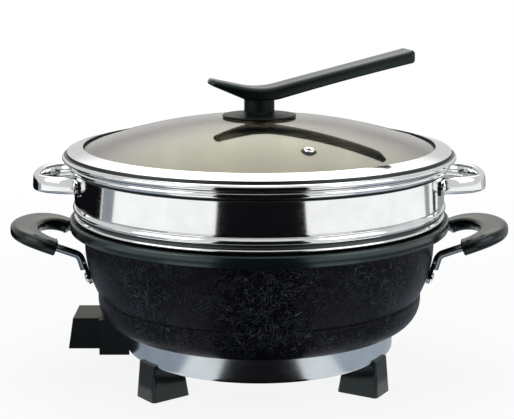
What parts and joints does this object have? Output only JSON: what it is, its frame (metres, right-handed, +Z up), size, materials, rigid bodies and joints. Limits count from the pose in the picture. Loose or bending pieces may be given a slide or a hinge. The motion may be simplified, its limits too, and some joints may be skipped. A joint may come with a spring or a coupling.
{
  "type": "electric pan",
  "caption": "Round electric pan on a footed heating base, with a bright steel steamer tier and a lift-off domed glass lid that carries a slanted lever handle.",
  "frame": {"origin": "on the pan's axis, on the surface that the feet stand on", "axes": "+Z up along the pan's axis, +X through the right side handle, with the mains inlet on -X, +Y away from the front"},
  "size_m": [0.416, 0.324, 0.2738],
  "materials": {
    "coated_bowl": "near-black satin coating with fine swirled strokes",
    "satin_steel": "satin",
    "bright_steel": "mirror polished",
    "zinc_steel": "zinc plated",
    "element_sheath": "heat darkened",
    "black_plastic": "glossy black",
    "lid_glass": "clear tempered",
    "seal_rubber": "matt silicone",
    "pin_brass": "plain",
    "fuse_body": "ceramic white",
    "lead_cover": "heat-proof sleeving"
  },
  "bodies": {
    "base": {"pan_bowl": "coated_bowl", "base_ring": "satin_steel", "base_cover": "satin_steel", "foot_rear_right": "black_plastic", "foot_rear_left": "black_plastic", "foot_front_left": "black_plastic", "foot_front_right": "black_plastic", "foot_screws": "zinc_steel", "centre_stud": "zinc_steel", "clamp_nut": "zinc_steel", "cover_nut": "zinc_steel", "handle_grip_right": "black_plastic", "handle_grip_left": "black_plastic", "handle_rod_right_front": "bright_steel", "handle_rod_right_rear": "bright_steel", "handle_rod_left_front": "bright_steel", "handle_rod_left_rear": "bright_steel", "handle_rivets": "bright_steel", "heating_element": "element_sheath", "element_clamp": "zinc_steel", "element_terminals": "pin_brass", "probe_sleeve": "zinc_steel", "thermal_fuse": "fuse_body", "fuse_clip": "zinc_steel", "lead_live": "lead_cover", "lead_fused": "lead_cover", "lead_neutral": "lead_cover", "earth_strap": "pin_brass", "inlet_box": "black_plastic", "inlet_shroud": "black_plastic", "inlet_pins": "pin_brass", "earth_pin": "pin_brass", "box_screws": "zinc_steel", "shroud_screws": "zinc_steel"},
    "steamer": {"steamer_wall": "bright_steel", "steamer_floor": "satin_steel", "steamer_handle_right": "bright_steel", "steamer_handle_left": "bright_steel", "steamer_rivets": "bright_steel"},
    "lid": {"lid_glass": "lid_glass", "lid_rim": "bright_steel", "lid_gasket": "seal_rubber", "steam_vent": "bright_steel", "vent_grommet": "seal_rubber", "lid_handle_flange": "black_plastic", "lid_handle": "black_plastic", "lid_handle_seal": "seal_rubber", "lid_handle_washer": "zinc_steel", "lid_handle_screw": "zinc_steel"}
  },
  "joints": [
    {"name": "steamer_lift", "type": "slide", "parent": "base", "child": "steamer", "axis": [0, 0, 1], "range_m": [0, 0.12]},
    {"name": "lid_lift", "type": "slide", "parent": "steamer", "child": "lid", "axis": [0, 0, 1], "range_m": [0, 0.1]}
  ]
}
